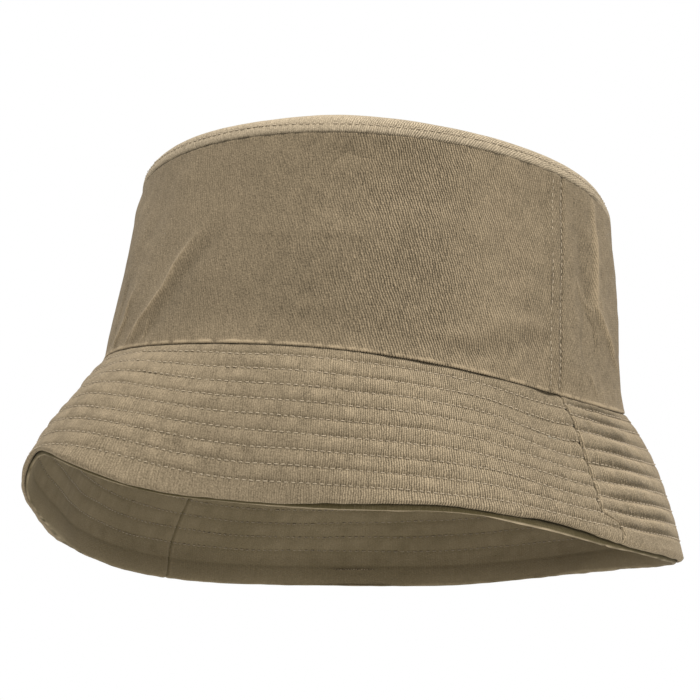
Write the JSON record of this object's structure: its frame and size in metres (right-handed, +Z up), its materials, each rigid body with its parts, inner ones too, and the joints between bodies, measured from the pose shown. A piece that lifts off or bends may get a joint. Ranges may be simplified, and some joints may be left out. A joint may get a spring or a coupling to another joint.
{
  "type": "bucket hat",
  "caption": "Cotton twill bucket hat with an oval flat-topped crown, side seams and a steep, softly waved brim stitched in concentric rows, unlined, with sweatband.",
  "frame": {"origin": "centre of the head opening, where the crown meets the brim", "axes": "+Z up through the crown, -Y the front of the hat, +X the wearer's left"},
  "size_m": [0.2214, 0.2598, 0.1427],
  "materials": {
    "twill_crown": "khaki cotton twill",
    "twill_brim": "khaki cotton twill",
    "twill_under": "khaki cotton twill",
    "interlining": "non-woven backing",
    "sweatband": "khaki cotton twill",
    "tape": "woven cotton tape",
    "thread": "spun polyester thread"
  },
  "bodies": {
    "root": {"crown_top": "twill_crown", "crown_side_front": "twill_crown", "crown_side_back": "twill_crown", "brim_upper_front": "twill_brim", "brim_upper_back": "twill_brim", "brim_under_front": "twill_under", "brim_under_back": "twill_under", "brim_interlining_front": "interlining", "brim_interlining_back": "interlining", "sweatband": "sweatband", "side_seam_tape_left": "tape", "side_seam_tape_right": "tape", "top_seam_tape": "tape", "brim_stitch_row_1": "thread", "brim_stitch_row_2": "thread", "brim_stitch_row_3": "thread", "brim_stitch_row_4": "thread", "brim_stitch_row_5": "thread", "brim_stitch_row_6": "thread", "brim_stitch_row_7": "thread", "brim_stitch_row_8": "thread", "brim_stitch_row_9": "thread", "top_stitch": "thread", "side_stitch_left_near": "thread", "side_stitch_left_far": "thread", "side_stitch_right_near": "thread", "side_stitch_right_far": "thread", "sweatband_stitch": "thread"}
  },
  "joints": []
}
